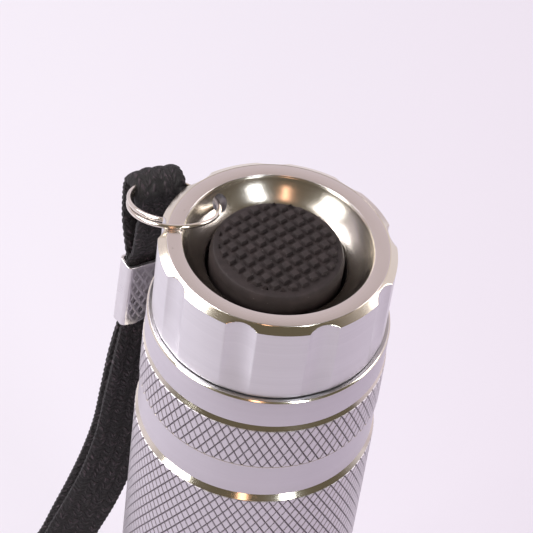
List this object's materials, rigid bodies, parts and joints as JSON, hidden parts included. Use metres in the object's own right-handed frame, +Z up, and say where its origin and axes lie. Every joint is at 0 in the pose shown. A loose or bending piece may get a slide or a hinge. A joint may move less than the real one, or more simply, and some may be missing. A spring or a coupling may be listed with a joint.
{
  "type": "flashlight",
  "caption": "Compact aluminium pocket flashlight with a fluted tail cap, rubber tail switch, knurled tube, smooth reflector head and a woven wrist strap on a split ring.",
  "frame": {"origin": "centre of the bezel's front face, on the surface that the flashlight stands on head down", "axes": "+Z up along the tube's axis from the bezel to the tail cap; the picture is taken from the -Y side, and the wrist strap hangs at the -X side"},
  "size_m": [0.0667, 0.0507, 0.1202],
  "materials": {
    "satin_aluminium": "satin silver anodised, with fine turning lines",
    "reflector_silver": "smooth vacuum-plated mirror",
    "lens_glass": "clear polished",
    "black_rubber": "matte charcoal rubber",
    "black_plastic": "matte moulded",
    "board_green": "circuit board with a green mask",
    "board_white": "metal-core board with a white mask",
    "led_phosphor": "clear dome over yellow phosphor",
    "brass": "turned",
    "spring_steel": "bright nickel-plated wire",
    "cell_wrap": "plain shrink sleeve, unmarked",
    "crimp_metal": "pressed nickel-plated sleeve",
    "black_nylon": "flat woven braid"
  },
  "bodies": {
    "head": {"head_shell": "satin_aluminium", "bezel_ring": "satin_aluminium", "lens": "lens_glass", "lens_gasket": "black_rubber", "reflector": "reflector_silver", "led_emitter": "led_phosphor", "led_board": "board_white", "led_pill": "brass", "driver_board": "board_green", "driver_spring": "spring_steel"},
    "head_seal": {"head_seal": "black_rubber"},
    "battery_tube": {"body_tube": "satin_aluminium", "cell_carrier": "black_plastic", "front_terminal": "brass", "rear_terminal": "brass", "cell_1": "cell_wrap", "cell_2": "cell_wrap", "cell_3": "cell_wrap", "cell_spring_1": "spring_steel", "cell_spring_2": "spring_steel", "cell_spring_3": "spring_steel"},
    "tail_seal": {"tail_seal": "black_rubber"},
    "tail_cap": {"tail_cap": "satin_aluminium", "boot_flange": "black_rubber", "boot_washer": "black_plastic", "switch_housing": "black_plastic", "switch_board": "board_green", "switch_retainer": "brass", "tail_spring": "spring_steel"},
    "button": {"boot_button": "black_rubber"},
    "plunger": {"switch_plunger": "black_plastic"},
    "ring": {"split_ring": "spring_steel"},
    "lanyard": {"strap_top_loop": "black_nylon", "strap_crimp": "crimp_metal", "wrist_strap": "black_nylon"}
  },
  "joints": [
    {"name": "tube_travel", "type": "slide", "parent": "head", "child": "head_seal", "axis": [0, 0, 1], "range_m": [0, 0.006]},
    {"name": "tube_turn", "type": "hinge", "parent": "head_seal", "child": "battery_tube", "pos_m": [0, 0, 0.0443], "axis": [0, 0, 1], "range_deg": [0, 2160]},
    {"name": "cap_travel", "type": "slide", "parent": "battery_tube", "child": "tail_seal", "axis": [0, 0, 1], "range_m": [0, 0.006]},
    {"name": "cap_turn", "type": "hinge", "parent": "tail_seal", "child": "tail_cap", "pos_m": [0, 0, 0.1081], "axis": [0, 0, 1], "range_deg": [0, 2160]},
    {"name": "button_press", "type": "slide", "parent": "tail_cap", "child": "button", "axis": [0, 0, -1], "range_m": [0, 0.0015], "stiffness_N_per_m": 1500, "springref_m": -0.0006},
    {"name": "plunger_press", "type": "slide", "parent": "tail_cap", "child": "plunger", "axis": [0, 0, -1], "range_m": [0, 0.0015]},
    {"name": "ring_swing", "type": "hinge", "parent": "tail_cap", "child": "ring", "pos_m": [-0.00806, 0.00757, 0.1167], "axis": [-0.6298, 0.7348, -0.2521], "range_deg": [0, 90]},
    {"name": "strap_swing", "type": "hinge", "parent": "ring", "child": "lanyard", "pos_m": [-0.01435, 0.00837, 0.11655], "axis": [0.8572, 0.515, 0], "range_deg": [0, 75]}
  ],
  "couplings": [
    {"joint": "tube_travel", "follows": "tube_turn", "m_per_rad": 0.00015915},
    {"joint": "cap_travel", "follows": "cap_turn", "m_per_rad": 0.00015915},
    {"joint": "plunger_press", "follows": "button_press", "ratio": 1}
  ]
}
